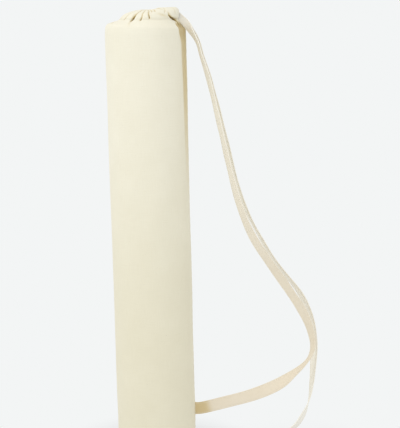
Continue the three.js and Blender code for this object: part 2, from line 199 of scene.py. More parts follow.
BACK_STRAND = [
    (-0.021, 1, 0.4, 0.135, -14, 0.45),
    (0.018, 1, 0.12, 0.17, -42, 0.6),
    (0.047, 1, -0.25, 0.26, -58, 0.84),
    (0.081, 0.9742, 0, 0.38, -70, 1),
    (0.11, 0.9554, 0, 0.46, -76, 1),
    (0.131, 0.9325, 0, 0.5, -76, 1),
    (0.196, 0.8667, 0, 0.6, -74, 1),
    (0.289, 0.7528, 0, 0.6, -74, 1),
    (0.375, 0.6378, 0, 0.6, -74, 1),
    (0.457, 0.5601, 0, 0.6, -75, 1),
    (0.571, 0.4915, 0, 0.6, -75, 1),
    (0.706, 0.4248, 0, 0.6, -71, 1),
    (0.877, 0.3587, 0, 0.6, -66, 1),
    (0.967, 0.2985, 0, 0.6, -64, 1),
    (0.996, 0.2388, 0, 0.6, -64, 1),
    (0.989, 0.1881, 0, 0.6, -66, 1),
    (0.972, 0.1313, 0, 0.6, -76, 1),
    (0.943, 0.0851, 0, 0.6, -98, 1),
    (0.884, 0.0443, 0, 0.6, -122, 1),
    (0.81, 0.0185, 0, 0.6, -124, 1),
    (0.7, 0.0066, 0, 0.58, -102, 1),
    (0.55, 0.0023, 0, 0.5, -91, 1),
    (0.33, 0.0019, 0, 0.3, -90, 1),
    (0.12, 0.0032, 0, 0.08, -90, 1),
    (-0.006, 0.0095, 0, 0, -90, 1),
]

rng = np.random.default_rng(7)


# Curves

def spline(values, place):
    """A smooth curve through values, read at place, where 0 is the first of them."""
    values = np.asarray(values, float)
    last = len(values) - 1
    place = np.asarray(place, float)
    i = np.clip(np.floor(place).astype(int), 0, last - 1)
    t = place - i
    if values.ndim > 1:
        t = t[..., None]
    p0, p1, p2, p3 = (values[np.clip(i + k, 0, last)] for k in (-1, 0, 1, 2))
    bend = 2 * p0 - 5 * p1 + 4 * p2 - p3
    return p1 + 0.5 * t * (p2 - p0 + t * (bend + t * (3 * (p1 - p2) + p3 - p0)))


def mix(a, b, t):
    return a + (b - a) * t


def smoothstep(low, high, x):
    t = np.clip((x - low) / (high - low), 0, 1)
    return t * t * (3 - 2 * t)


def bell(x, width):
    return np.exp(-((x / width) ** 2))


def unit(v):
    return v / np.linalg.norm(v, axis=-1, keepdims=True)


def turned(angle):
    """An angle brought between half a turn back and half a turn on."""
    return (angle + math.pi) % (2 * math.pi) - math.pi


# The cloth's surface

def fold_angle(fold, place):
    """A fold line's angle at a place: a smooth curve through its three angles."""
    foot, middle, head = fold[..., 0], fold[..., 1], fold[..., 2]
    place = np.clip(place, STITCH_ROW, RIM_ROW)
    first = (middle - foot) / (MIDDLE_ROW - STITCH_ROW)
    rest = head - foot - first * (RIM_ROW - STITCH_ROW)
    second = rest / ((RIM_ROW - STITCH_ROW) * (RIM_ROW - MIDDLE_ROW))
    return np.radians(foot + (place - STITCH_ROW) * (first + second * (place - MIDDLE_ROW)))


class Columns:
    """The columns round the crown, closest together beside the fold lines."""

    def __init__(self, notch_too):
        edges = [(NOTCH, NOTCH, NOTCH, 0, 9), *FOLDS, (360 - NOTCH, 360 - NOTCH, 360 - NOTCH, 0, 9)]
        spans = list(zip(edges[:-1], edges[1:]))
        rows = []
        for a, b in spans:
            steps = max(FEWEST_STEPS, round((b[0] - a[0]) / FOLD_STEP))
            share = np.arange(steps) / steps
            rows += [(a, b, t) for t in share - 0.75 * np.sin(2 * math.pi * share) / (2 * math.pi)]
        if notch_too:
            across = (edges[-1], (360 + NOTCH, 360 + NOTCH, 360 + NOTCH, 0, 9))
            rows += [(*across, s / NOTCH_STEPS) for s in range(NOTCH_STEPS)]
        else:
            rows.append((*spans[-1], 1.0))
        self.low = np.array([a for a, b, t in rows], float)
        self.high = np.array([b for a, b, t in rows], float)
        self.t = np.array([t for a, b, t in rows])
        self.count = len(rows)

    def edges(self, place):
        return fold_angle(self.low, place), fold_angle(self.high, place)

    def angle(self, place):
        low, high = self.edges(place)
        return mix(low, high, self.t)


def smooth_point(angle, place):
    """The ungathered surface of the crown."""
    radius = RADIUS * spline(CROWN_ROWS["radius"], place)
    shift = RADIUS * spline(CROWN_ROWS["shift"], place)
    rise = spline(CROWN_ROWS["rise"], place) - spline(CROWN_ROWS["dip"], place) * np.cos(angle)
    x = shift + radius * np.cos(angle)
    y = -radius * np.sin(angle)
    return np.stack([x, y, SHOULDER + CROWN * rise + 0 * x], axis=-1)


def up_along(angle, place):
    """The direction up the cloth."""
    low = np.maximum(0, place - 0.2)
    high = np.minimum(RIM_ROW, place + 0.2)
    return unit(smooth_point(angle, high) - smooth_point(angle, low))


def out_of(angle, place):
    """The direction straight out of the cloth."""
    step = 0.02
    round_it = smooth_point(angle + step, place) - smooth_point(angle - step, place)
    return unit(np.cross(up_along(angle, place), round_it))


def fold_run(start, place):
    """How deep a fold is along its line: deepest just over its lower end."""
    into = place - start
    return smoothstep(-0.45, 0.15, into) * (0.5 + 0.5 * bell(np.maximum(into - 0.15, 0), 1.3))


def pleats(cols, place):
    """How far the pleats stand out, softly round, and how far the fold lines between them sink in."""
    low, high = cols.edges(place)
    length = (high - low) * RADIUS * spline(CROWN_ROWS["radius"], place)
    full = np.minimum(1, length / FULL_PLEAT)
    deep_low = cols.low[:, 3] * fold_run(cols.low[:, 4], place)
    deep_high = cols.high[:, 3] * fold_run(cols.high[:, 4], place)
    sunk = deep_low * bell(cols.t * length, CREASE) + deep_high * bell((1 - cols.t) * length, CREASE)
    puff = (1 - (2 * cols.t - 1) ** 2) * np.maximum(deep_low, deep_high)
    return PLEAT_RISE * full * puff, PLEAT_DIP * sunk * np.minimum(1, 0.35 + 0.65 * full)


def crease_dip(points, line):
    """How far the surface sinks at points beside a crease that runs through a line's stations."""
    stations = np.array([smooth_point(np.radians(a), p) for a, p, _, _ in line])
    deepest = np.zeros(points.shape[:-1])
    for i in range(len(line) - 1):
        start, step = stations[i], stations[i + 1] - stations[i]
        run = np.clip((points - start) @ step / (step @ step), 0, 1)
        off = np.linalg.norm(points - start - run[..., None] * step, axis=-1)
        depth = mix(line[i][2], line[i + 1][2], run) * MM
        width = mix(line[i][3], line[i + 1][3], run) * MM
        deepest = np.maximum(deepest, depth * bell(off, width))
    return deepest


def lobe(angle, place):
    """The puffed end of the casing, in front of the strap's exit."""
    near = bell(turned(angle) - math.radians(32), math.radians(18))
    return LOBE_RISE * near * bell(place - 9.4, 1.9) * smoothstep(6.8, 7.9, place)


def draws(angle, z):
    """Soft lines that run down from the folds and fade."""
    total = 0
    for i, (foot, _, _, depth, _) in enumerate(FOLDS):
        reach = (45 + 28 * math.sin(2.1 * i)) * MM
        below = np.maximum(SHOULDER - z, 0)
        wander = 0.035 * np.sin(below / (31 * MM) + 1.7 * i)
        off = turned(angle - math.radians(foot) - wander) * RADIUS
        wide = (3.2 + 40 * below) * MM
        fade = np.exp(-below / reach) * smoothstep(SHOULDER + 8 * MM, SHOULDER - 12 * MM, z)
        total = total - 0.3 * MM * depth * fade * bell(off, wide)
    return total


def swells(angle, z):
    """The slack of the cloth over the roll: long soft bands that run up and down."""
    bands = [
        (3, 0.55, 1.3, 0.4, 0.8),
        (5, 0.4, -2.1, 2.2, 1.9),
        (7, 0.3, 2.6, 4.1, 2.6),
        (10, 0.2, -3.4, 0.9, 3.9),
        (15, 0.11, 4.2, 3.3, 6.3),
    ]
    total = 0
    for around, size, lean, phase, along in bands:
        wave = around * angle + lean * np.sin(along * z * 2 * math.pi / SHOULDER + phase) * 0.5
        total = total + SLACK * size * MM * np.sin(wave + phase)
    level = smoothstep(0.0, 0.05, z) * smoothstep(SHOULDER + 6 * MM, SHOULDER - 30 * MM, z)
    return total * level


def tuck_side(angle, z):
    """From 0 in front of the crease beside the side seam to 1 behind it: sharp near the top."""
    off = np.degrees(turned(angle))
    edge = 29 - 6 * smoothstep(0.662, 0.640, z) - 4 * smoothstep(0.64, 0.57, z)
    soft = 3 + 5 * smoothstep(0.662, 0.640, z) - 3 * smoothstep(0.64, 0.57, z)
    high = smoothstep(0.38, 0.6, z) * smoothstep(SHOULDER + 15 * MM, SHOULDER + 3 * MM, z)
    return high * smoothstep(edge + soft, edge - soft, off)


def side_facet(angle, z):
    """The cloth that tucks in beside the side seam, under the strap's exit, and the seam's ridge."""
    off = np.degrees(turned(angle))
    deep = tuck_side(angle, z)
    return MM * deep * (-TUCK * smoothstep(-2, 8, off) + 1.0 * bell(off + 3, 5))


def painted_tuck_shade(angle, z):
    """Painted shade: how much the colour of the cloth beside the side seam is darkened, in the tuck under the
    strap's exit.
    """
    strength = TUCK_SHADE + TUCK_SHADE_TOP * smoothstep(0.64, 0.66, z)
    return strength * tuck_side(angle, z) * smoothstep(-7, 3, np.degrees(turned(angle)))


def foot_crease(angle, z):
    """A slanting crease that the sewn-in strap end draws in the cloth beside it."""
    run = (z - 8 * MM) / (70 * MM)
    line = math.radians(52) - math.radians(46) * run
    off = (turned(angle) - line) * RADIUS
    along = smoothstep(-0.1, 0.25, run) * smoothstep(1.25, 0.6, run)
    return -0.8 * MM * along * bell(off, 4.5 * MM) + 0.5 * MM * along * bell(off + 7 * MM, 6 * MM)


def side_seam(angle, z):
    """The seam's groove, the allowance beside it and its small puckers."""
    off = turned(angle) * RADIUS
    step = smoothstep(-SEAM_WIDTH - 1.5 * MM, -SEAM_WIDTH, off) * smoothstep(0.6 * MM, -0.6 * MM, off)
    groove = bell(off, 0.8 * MM)
    pucker = np.sin(z / MM * 0.62 + 1.4 * np.sin(z / MM * 0.11)) * bell(off, 5 * MM)
    return SEAM_RISE * step - SEAM_GROOVE * groove + 0.22 * MM * pucker


def seam_lips(angle, z):
    """The seam's two edges, which stand out where the strap's end is sewn in between them."""
    off = np.abs(turned(angle)) * RADIUS
    beside = smoothstep(0.2 * MM, 1.4 * MM, off) * smoothstep(5 * MM, 2 * MM, off)
    return 0.9 * MM * beside * bell(z - STRAP_END, 11 * MM)


def relief(angle, z):
    """All that stands out of the smooth tube or sinks into it."""
    return (draws(angle, z) + swells(angle, z) + side_facet(angle, z) + foot_crease(angle, z)
            + side_seam(angle, z) + seam_lips(angle, z))


def crown_sink(cols, place):
    """How deep the fold lines and creases lie at each column."""
    smooth = smooth_point(cols.angle(place), place)
    return pleats(cols, place)[1] + sum(crease_dip(smooth, line) for line in FREE_CREASES)


def crown_point(cols, place, depth, follow):
    """A point of the crown: depth under the outside, and how much of the pleats it follows."""
    angle = cols.angle(place)
    smooth = smooth_point(angle, place)
    fade = smoothstep(STITCH_ROW, STITCH_ROW - 3, place)
    off = pleats(cols, place)[0] + lobe(angle, place) + fade * relief(angle, smooth[..., 2])
    off = off - crown_sink(cols, place)
    point = smooth + out_of(angle, place) * (follow * off - depth)[..., None]
    left = smoothstep(24 * MM, 12 * MM, smooth[..., 0])
    point[..., 2] -= RIM_SAG * left * smoothstep(9.6, RIM_ROW, place)
    return point


def crown_shade(cols, place):
    """How much a point's colour is darkened: painted shade in the creases and in the tuck."""
    fade = smoothstep(STITCH_ROW, STITCH_ROW - 2, place)
    z = smooth_point(cols.angle(place), place)[..., 2]
    return np.clip(crown_sink(cols, place) / FULL_SHADE + fade * painted_tuck_shade(cols.angle(place), z), 0, 1)


# Meshes

def lower_shade_share(z, top):
    """From 0 at a height to 1 near the foot: painted shade, the colour a little darker and browner lower
    down, where the light falls off.
    """
    return smoothstep(top, LOWER_SHADE_FULL, z)


def point_values(mesh, name, values):
    layer = mesh.attributes.new(name, "FLOAT", "POINT")
    layer.data.foreach_set("value", np.asarray(values, float).reshape(-1).astype(np.float32))


def grid_object(name, points, uv, round_it=True, close_rows=False, shade=None, lower_shade=None):
    """A mesh from rows of points. uv has one column more than points where it goes round."""
    rows, cols = points.shape[:2]
    across = cols if round_it else cols - 1
    down = rows if close_rows else rows - 1
    r, c = np.meshgrid(np.arange(down), np.arange(across), indexing="ij")
    r2 = (r + 1) % rows
    c2 = (c + 1) % cols
    quads = np.stack([r * cols + c, r * cols + c2, r2 * cols + c2, r2 * cols + c], axis=-1)
    mesh = bpy.data.meshes.new(name)
    mesh.vertices.add(rows * cols)
    mesh.vertices.foreach_set("co", points.reshape(-1).astype(np.float32))
    count = down * across
    mesh.loops.add(4 * count)
    mesh.loops.foreach_set("vertex_index", quads.reshape(-1).astype(np.int32))
    mesh.polygons.add(count)
    mesh.polygons.foreach_set("loop_start", np.arange(0, 4 * count, 4, dtype=np.int32))
    mesh.update(calc_edges=True)
    corner = np.stack([uv[r, c], uv[r, c + 1], uv[r + 1, c + 1], uv[r + 1, c]], axis=2)
    layer = mesh.uv_layers.new(name="cloth")
    layer.data.foreach_set("uv", corner.reshape(-1).astype(np.float32))
    mesh.polygons.foreach_set("use_smooth", np.ones(count, dtype=bool))
    point_values(mesh, "shade", np.zeros(rows * cols) if shade is None else shade)
    point_values(mesh, "lower_shade", lower_shade_share(points[..., 2], LOWER_SHADE_TOP) if lower_shade is None else lower_shade)
    mesh.validate()
    obj = bpy.data.objects.new(name, mesh)
    bpy.context.scene.collection.objects.link(obj)
    return obj


def finish_piece(obj, material, slot, *nodes):
    """Give a piece its material and its body, and hide the solids that it stands for; slot is not used."""
    obj.data.materials.append(material)
    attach(obj, "root")
    if nodes:
        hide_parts(*nodes)
    return obj


def run_lengths(points):
    """How far along each row of points lies, measured on the first column that isn't a fold."""
    line = points[:, points.shape[1] // 3]
    steps = np.linalg.norm(np.diff(line, axis=0), axis=1)
    return np.concatenate([[0], np.cumsum(steps)])


def cloth_uv(angles, lengths):
    """u runs round the cloth as it lay flat, v along it."""
    flat = np.concatenate([angles, angles[:1] + 2 * math.pi]) * RADIUS
    u, v = np.meshgrid(flat, lengths)
    return np.stack([u, v], axis=-1)


def foot_ring(angle, inset, z, lift):
    radius = RADIUS - inset + lift
    return np.stack([radius * np.cos(angle), -radius * np.sin(angle), z + 0 * angle], axis=-1)


def tube_cloth(material):
    """The tube, from its lip under the base up over the shoulder to the stitched row, and back inside."""
    cols = Columns(notch_too=True)
    angle = cols.angle(STITCH_ROW)
    outside = []
    shade = []
    foot_inset = (LIP / FOOT_ROUND, 0.68, 0.37, 0.125, 0)
    foot_up = (0, 0, 0.14, 0.45, 1)
    for place in np.linspace(0, 4, 17):
        inset = FOOT_ROUND * spline(foot_inset, place)
        z = np.full_like(angle, FOOT_ROUND * max(0, spline(foot_up, place)))
        lift = relief(angle, z) * smoothstep(2, 4, place)
        outside.append(foot_ring(angle, inset, z, lift))
        shade.append(0 * angle)
    top = SHOULDER + CROWN * CROWN_ROWS["rise"][SHOULDER_ROW]
    heights = FOOT_ROUND + (top - FOOT_ROUND) * np.linspace(0, 1, 118)[1:-1]
    for height in heights:
        z = np.full_like(angle, height)
        outside.append(foot_ring(angle, 0, z, relief(angle, z)))
        # painted shade in the tuck beside the side seam
        shade.append(painted_tuck_shade(angle, z))
    for place in np.linspace(SHOULDER_ROW, STITCH_ROW + 0.04, 58):
        outside.append(crown_point(cols, place, 0, 1))
        shade.append(crown_shade(cols, place))
    outside.append(crown_point(cols, STITCH_ROW + 0.1, 0.35 * MM, 1))
    shade.append(shade[-1])
    inside = [crown_point(cols, place, CLOTH, 1) for place in np.linspace(STITCH_ROW, SHOULDER_ROW, 22)]
    for height in np.linspace(top, FOOT_ROUND, 26)[1:]:
        z = np.full_like(angle, height)
        inside.append(foot_ring(angle, CLOTH, z, relief(angle, z)))
    inside.append(foot_ring(angle, CLOTH + FOOT_ROUND * 0.25, CLOTH + FOOT_ROUND * 0.15, 0))
    inside.append(foot_ring(angle, LIP, CLOTH, 0))
    shade += [0 * angle] * len(inside)
    points = np.array(outside + inside + outside[:1])
    uv = cloth_uv(angle, run_lengths(points))
    obj = grid_object("tube_cloth", points[:-1], uv, close_rows=True, shade=np.array(shade))
    return finish_piece(obj, material, "canvas", "body_tube", "gathered_top")


def casing_band(material):
    """The hollow pleated band round the rim, open at both its ends beside the seam."""
    cols = Columns(notch_too=False)
    angle = cols.angle(RIM_ROW)
    low = STITCH_ROW + 0.1
    rim_out = crown_point(cols, RIM_ROW, 0, 1)
    rim_in = crown_point(cols, RIM_ROW - 0.1, CASING_DEPTH, 0.25)
    up = up_along(angle, float(RIM_ROW))
    rows = [low, low + 0.01, *np.linspace(low + 0.04, RIM_ROW, 56)]
    skin = [crown_point(cols, place, 0, 1) for place in rows]
    shade = [crown_shade(cols, place) for place in rows]
    bend = []
    for turn in np.linspace(0, math.pi, 12)[1:-1]:
        across = 0.5 - 0.5 * math.cos(turn)
        bend.append(mix(rim_out, rim_in, across) + up * 3.0 * MM * math.sin(turn))
        # the painted shade fades round the rim's bend
        shade.append(shade[-1] * 0.7)
    lining = [crown_point(cols, place, CASING_DEPTH, 0.25)
              for place in np.linspace(RIM_ROW - 0.1, low, 24)]
    shade += [0 * angle] * len(lining)
    outer = np.array(skin + bend + lining)
    hollow = [crown_point(cols, place, CLOTH, 1) for place in np.linspace(low + 0.45, 11.6, 20)]
    over = [crown_point(cols, place, CASING_DEPTH - CLOTH, 0.25)
            for place in np.linspace(11.4, low + 0.45, 16)]
    inner = np.array(hollow + over)
    return banded_shell("casing_band", cols, outer, inner, np.array(shade), material)


def banded_shell(name, cols, outer, inner, shade, material):
    """Two closed skins, one inside the other, made into one object; the band's two open ends are not bridged.
    """
    angle = cols.angle(STITCH_ROW)
    uv_outer = cloth_uv(angle, np.append(run_lengths(outer), CASING_RUN))[:, :-1]
    a = grid_object(name, outer, uv_outer, round_it=False, close_rows=True, shade=shade)
    uv_inner = cloth_uv(angle, np.append(run_lengths(inner), CASING_RUN))[:, :-1]
    b = grid_object(name + "_hollow", inner[:, ::-1], uv_inner, round_it=False, close_rows=True)
    return finish_piece(join([a, b]), material, "canvas", "casing")


def join(objects):
    """One object that holds the meshes of several."""
    with bpy.context.temp_override(active_object=objects[0], selected_editable_objects=objects):
        bpy.ops.object.join()
    return objects[0]


def base_disc(material):
    """The round panel sewn into the lip, with its turned edge."""
    count = 180
    angle = np.linspace(0, 2 * math.pi, count, endpoint=False)
    profile = [
        (0, 0.9), (0.006, 0.9), (0.25, 0.9), (0.5, 0.9), (0.75, 0.85), (0.93, 0.8), (0.985, 0.6), (1, 0.4),
        (0.995, 0.12), (0.98, 0.02), (0.93, 0), (0.75, 0), (0.5, 0), (0.25, 0), (0.006, 0), (0, 0),
    ]
    rings = []
    for share, high in profile:
        radius = (PANEL_RADIUS + GAP + PANEL_INTO_LIP) * max(share, CENTRE)
        rings.append(np.stack([radius * np.cos(angle), -radius * np.sin(angle),
                               PANEL * high + 0 * angle], axis=-1))
    points = np.array(rings)[::-1]
    uv_angles = np.concatenate([angle, [2 * math.pi]])
    radii = np.array([p[0] for p in [profile[0], *profile]])[::-1] * PANEL_RADIUS
    u = radii[:, None] * np.cos(uv_angles)
    v = radii[:, None] * np.sin(uv_angles)
    obj = grid_object("base_disc", points, np.stack([u, v], axis=-1), close_rows=True)
    return finish_piece(obj, material, "canvas", "base_panel")


# The strap

def strand_stations(strand):
    """Each station: the tape's middle, its width's direction and its half width."""
    table = np.array(strand, float)

    def at(place):
        out, up, rise, side = (spline(table[:, k], place) for k in range(4))
        return np.stack([RADIUS + GAP + SWING * out, TAPE_WIDTH * side,
                         SHOULDER * up + CROWN * rise], axis=-1)

    last = len(table) - 1
    place = np.arange(last + 1.0)
    tangent = unit(at(np.minimum(place + 0.1, last)) - at(np.maximum(place - 0.1, 0)))
    across = unit(np.stack([-tangent[:, 2], 0 * place, tangent[:, 0]], axis=-1))
    turn = np.radians(table[:, 4])[:, None]
    wide = across * np.cos(turn) + np.array([0, 1, 0]) * np.sin(turn)
    return list(zip(at(place), wide, TAPE_WIDTH * table[:, 5] / 2))


def channel_point(angle):
    """The tape's middle inside the casing."""
    angle = np.asarray(angle, float)
    return smooth_point(angle, CHANNEL_ROW) - out_of(angle, CHANNEL_ROW) * TAPE_DEPTH


def channel_stations():
    """The tape's way through the casing, round from the front end of the notch to the back one."""
    half = TAPE_WIDTH * TAPE_BUNCHED / 2
    angles = np.radians(np.linspace(2 * NOTCH, 360 - 2 * NOTCH, 21))
    return [(channel_point(a), up_along(a, CHANNEL_ROW), half) for a in angles]


def exit_stations(side):
    """The turn out of the casing's end, at the front (side -1) or the back (side 1)."""
    half = TAPE_WIDTH * TAPE_BUNCHED / 2
    end = channel_point(math.radians(NOTCH))
    stations = []
    for degrees in (0, 45, 90):
        a = math.radians(degrees)
        x = end[0] + TAPE_TURN * (1 - math.cos(a))
        y = side * (-end[1] - TAPE_TURN * math.sin(a))
        z = end[2] - TAPE_TURN * (1 - math.cos(a)) * 0.6
        stations.append((np.array([x, y, z]), np.array([0, 0, 1.0]), half))
    return stations


def tape_path(steps):
    """Finely spaced middles, width directions, faces and half widths of the whole tape."""
    stations = (strand_stations(FRONT_STRAND)[::-1] + exit_stations(-1)[::-1] + channel_stations()
                + exit_stations(1) + strand_stations(BACK_STRAND))
    last = len(stations) - 1
    place = np.linspace(0, last, last * steps + 1)
    at_all = np.array([s[0] for s in stations])
    wide_all = np.array([s[1] for s in stations])
    half_all = np.array([s[2] for s in stations])
    at = spline(at_all, place)
    after = spline(at_all, np.minimum(place + 0.05, last))
    before = spline(at_all, np.maximum(place - 0.05, 0))
    ahead = unit(after - before)
    wide = spline(wide_all, place)
    wide = unit(wide - ahead * np.sum(wide * ahead, axis=1, keepdims=True))
    face = np.cross(ahead, wide)
    half = np.interp(place, np.arange(last + 1), half_all)
    run = np.concatenate([[0], np.cumsum(np.linalg.norm(np.diff(at, axis=0), axis=1))])
    return at, wide, face, half, run


def tape_section():
    """The tape's cut, as (share of half width, share of half thickness) all round it."""
    half_flat = (0, 0.2, 0.4, 0.58, 0.68, 0.74, TAPE_SEAM, 0.82, 0.88, 0.92)
    flat = np.array([-w for w in half_flat[:0:-1]] + list(half_flat))
    top = [(w, 1 - 0.35 * bell(abs(w) - TAPE_SEAM, 0.05)) for w in flat]
    turn = [(0.92 + 0.08 * math.sin(a), math.cos(a)) for a in np.radians((30, 60, 90, 120, 150))]
    bottom = [(w, -(1 - 0.35 * bell(abs(w) - TAPE_SEAM, 0.05))) for w in flat[::-1]]
    back = [(-w, -f) for w, f in turn]
    return np.array(top + turn + bottom + back)


def edge_lift(run, share):
    """How far the tape's face is bent up at a share of its half width: rippled edges, cupped middle."""
    ripple = 0.28 * MM * np.sin(run / (11 * MM) + 1.3 * np.sin(run / (47 * MM)))
    cup = 0.35 * MM * np.sin(run / (83 * MM) + 0.6)
    return share ** 2 * (ripple * np.sign(share) + cup)


def strap_tape(material):
    """One tape: side seam, front strand, casing, back strand, side seam."""
    at, wide, face, half, run = tape_path(TAPE_STEPS)
    section = tape_section()
    w = section[:, 0]
    f = section[:, 1]
    lift = np.array([edge_lift(run, share) for share in w]).T
    points = (at[:, None] + wide[:, None] * (w[None, :, None] * half[:, None, None])
              + face[:, None] * (f[None, :, None] * TAPE_THICK / 2 + lift[..., None]))
    cut = section * (TAPE_WIDTH / 2, TAPE_THICK / 2)
    sides = np.linalg.norm(np.diff(cut, axis=0, append=cut[:1]), axis=1)
    u, v = np.meshgrid(np.concatenate([[0], np.cumsum(sides)]), run)
    # Painted shadow of the bag on the front strand's sewn-in end.
    painted_bag_shadow = END_SHADE * smoothstep(END_SHADOW_GONE, END_SHADOW_FADES, run)
    shade = np.repeat(painted_bag_shadow[:, None], len(section), axis=1)
    # painted light: the back strand gets little of the painted lower shade, so it stays pale
    front = smoothstep(0.62, 0.38, run / run[-1])[:, None]
    lower_shade = lower_shade_share(points[..., 2], TAPE_LOWER_SHADE_TOP) * mix(BACK_LOWER_SHADE, 1, front)
    obj = grid_object("strap_tape", points, np.stack([u, v], axis=-1), shade=shade, lower_shade=lower_shade)
    return finish_piece(obj, material, "tape", "strap")


# Stitches

def stitches(name, path, outs, pitch, material, slot):
    """A row of small thread bumps along a path, each one sunk into the cloth at both its ends."""
    run = np.concatenate([[0], np.cumsum(np.linalg.norm(np.diff(path, axis=0), axis=1))])
    middles = np.arange(pitch / 2, run[-1], pitch)
    along = np.array([-0.5, -0.3, 0.0, 0.3, 0.5]) * THREAD_SHARE * pitch
    girth = np.array([0.35, 0.9, 1.0, 0.9, 0.35]) * THREAD / 2
    height = np.array([-0.6, 0.05, 0.28, 0.05, -0.6]) * THREAD
    sides = np.radians(np.arange(0, 360, 60))

    def read(values, at):
        return np.stack([np.interp(at, run, values[:, k]) for k in range(3)], axis=-1)

    at = middles[:, None] + along[None, :] + THREAD * 0.3 * rng.uniform(-1, 1, (len(middles), 1))
    at = np.clip(at, 0.1 * MM, run[-1] - 0.1 * MM)
    centre = read(path, at)
    out = unit(read(outs, at))
    ahead = unit(read(path, at + 0.2 * MM) - read(path, at - 0.2 * MM))
    across = unit(np.cross(out, ahead))
    centre = centre + out * height[None, :, None]
    ring = (across[:, :, None] * np.cos(sides)[:, None] + out[:, :, None] * np.sin(sides)[:, None])
    points = centre[:, :, None] + ring * girth[None, :, None, None]
    count, rings, around = points.shape[:3]
    faces = []
    for i in range(count):
        base = i * rings * around
        for r in range(rings - 1):
            for k in range(around):
                n = (k + 1) % around
                a = base + r * around
                faces.append((a + k, a + around + k, a + around + n, a + n))
        faces.append(tuple(base + k for k in range(around)))
        faces.append(tuple(base + (rings - 1) * around + k for k in reversed(range(around))))
    mesh = bpy.data.meshes.new(name)
    mesh.from_pydata(points.reshape(-1, 3).tolist(), [], faces)
    mesh.polygons.foreach_set("use_smooth", np.ones(len(faces), dtype=bool))
    obj = bpy.data.objects.new(name, mesh)
    bpy.context.scene.collection.objects.link(obj)
    return finish_piece(obj, material, slot)


def casing_stitches(material):
    """The row sewn round under the casing."""
    cols = Columns(notch_too=False)
    path = crown_point(cols, STITCH_LINE, 0, 1)
    outs = out_of(cols.angle(STITCH_LINE), STITCH_LINE)
    stitches("casing_stitches", path, outs, STITCH_PITCH, material, "canvas")


def strap_stitches(material):
    """The rows sewn along both edges of the tape, seen on both its faces."""
    at, wide, face, half, run = tape_path(TAPE_STEPS)
    front = slice(SEWN_IN, (len(FRONT_STRAND) + 1) * TAPE_STEPS)
    back = slice(-(len(BACK_STRAND) + 1) * TAPE_STEPS, -SEWN_IN)
    for name, part in (("front", front), ("back", back)):
        for edge in (-1, 1):
            for side in (-1, 1):
                path = (at + wide * (edge * TAPE_SEAM * half)[:, None]
                        + face * (side * TAPE_THICK / 2 * 0.8 + edge_lift(run, edge * TAPE_SEAM))[:, None])
                label = f"{name}_stitches_{'in' if edge < 0 else 'out'}_{'a' if side < 0 else 'b'}"
                stitches(label, path[part], side * face[part], STITCH_PITCH, material, "tape")


# Materials

PAINTED_SHADE_COLOUR = (0.53, 0.36, 0.05, 1)  # painted shade: the cloth's colour in shallow creases, in the tuck and at the strap's sewn-in end
PAINTED_FOLD_SHADOW_COLOUR = (0.12, 0.065, 0.015, 1)  # painted shadow: the cloth's colour at the bottom of the deepest folds


def node(tree, kind, inputs=None, **settings):
    n = tree.nodes.new(kind)
    for key, value in settings.items():
        setattr(n, key, value)
    for key, value in (inputs or {}).items():
        if isinstance(value, bpy.types.NodeSocket):
            tree.links.new(value, n.inputs[key])
        else:
            n.inputs[key].default_value = value
    return n


def math_node(tree, operation, a, b=0.0):
    return node(tree, "ShaderNodeMath", {0: a, 1: b}, operation=operation).outputs[0]


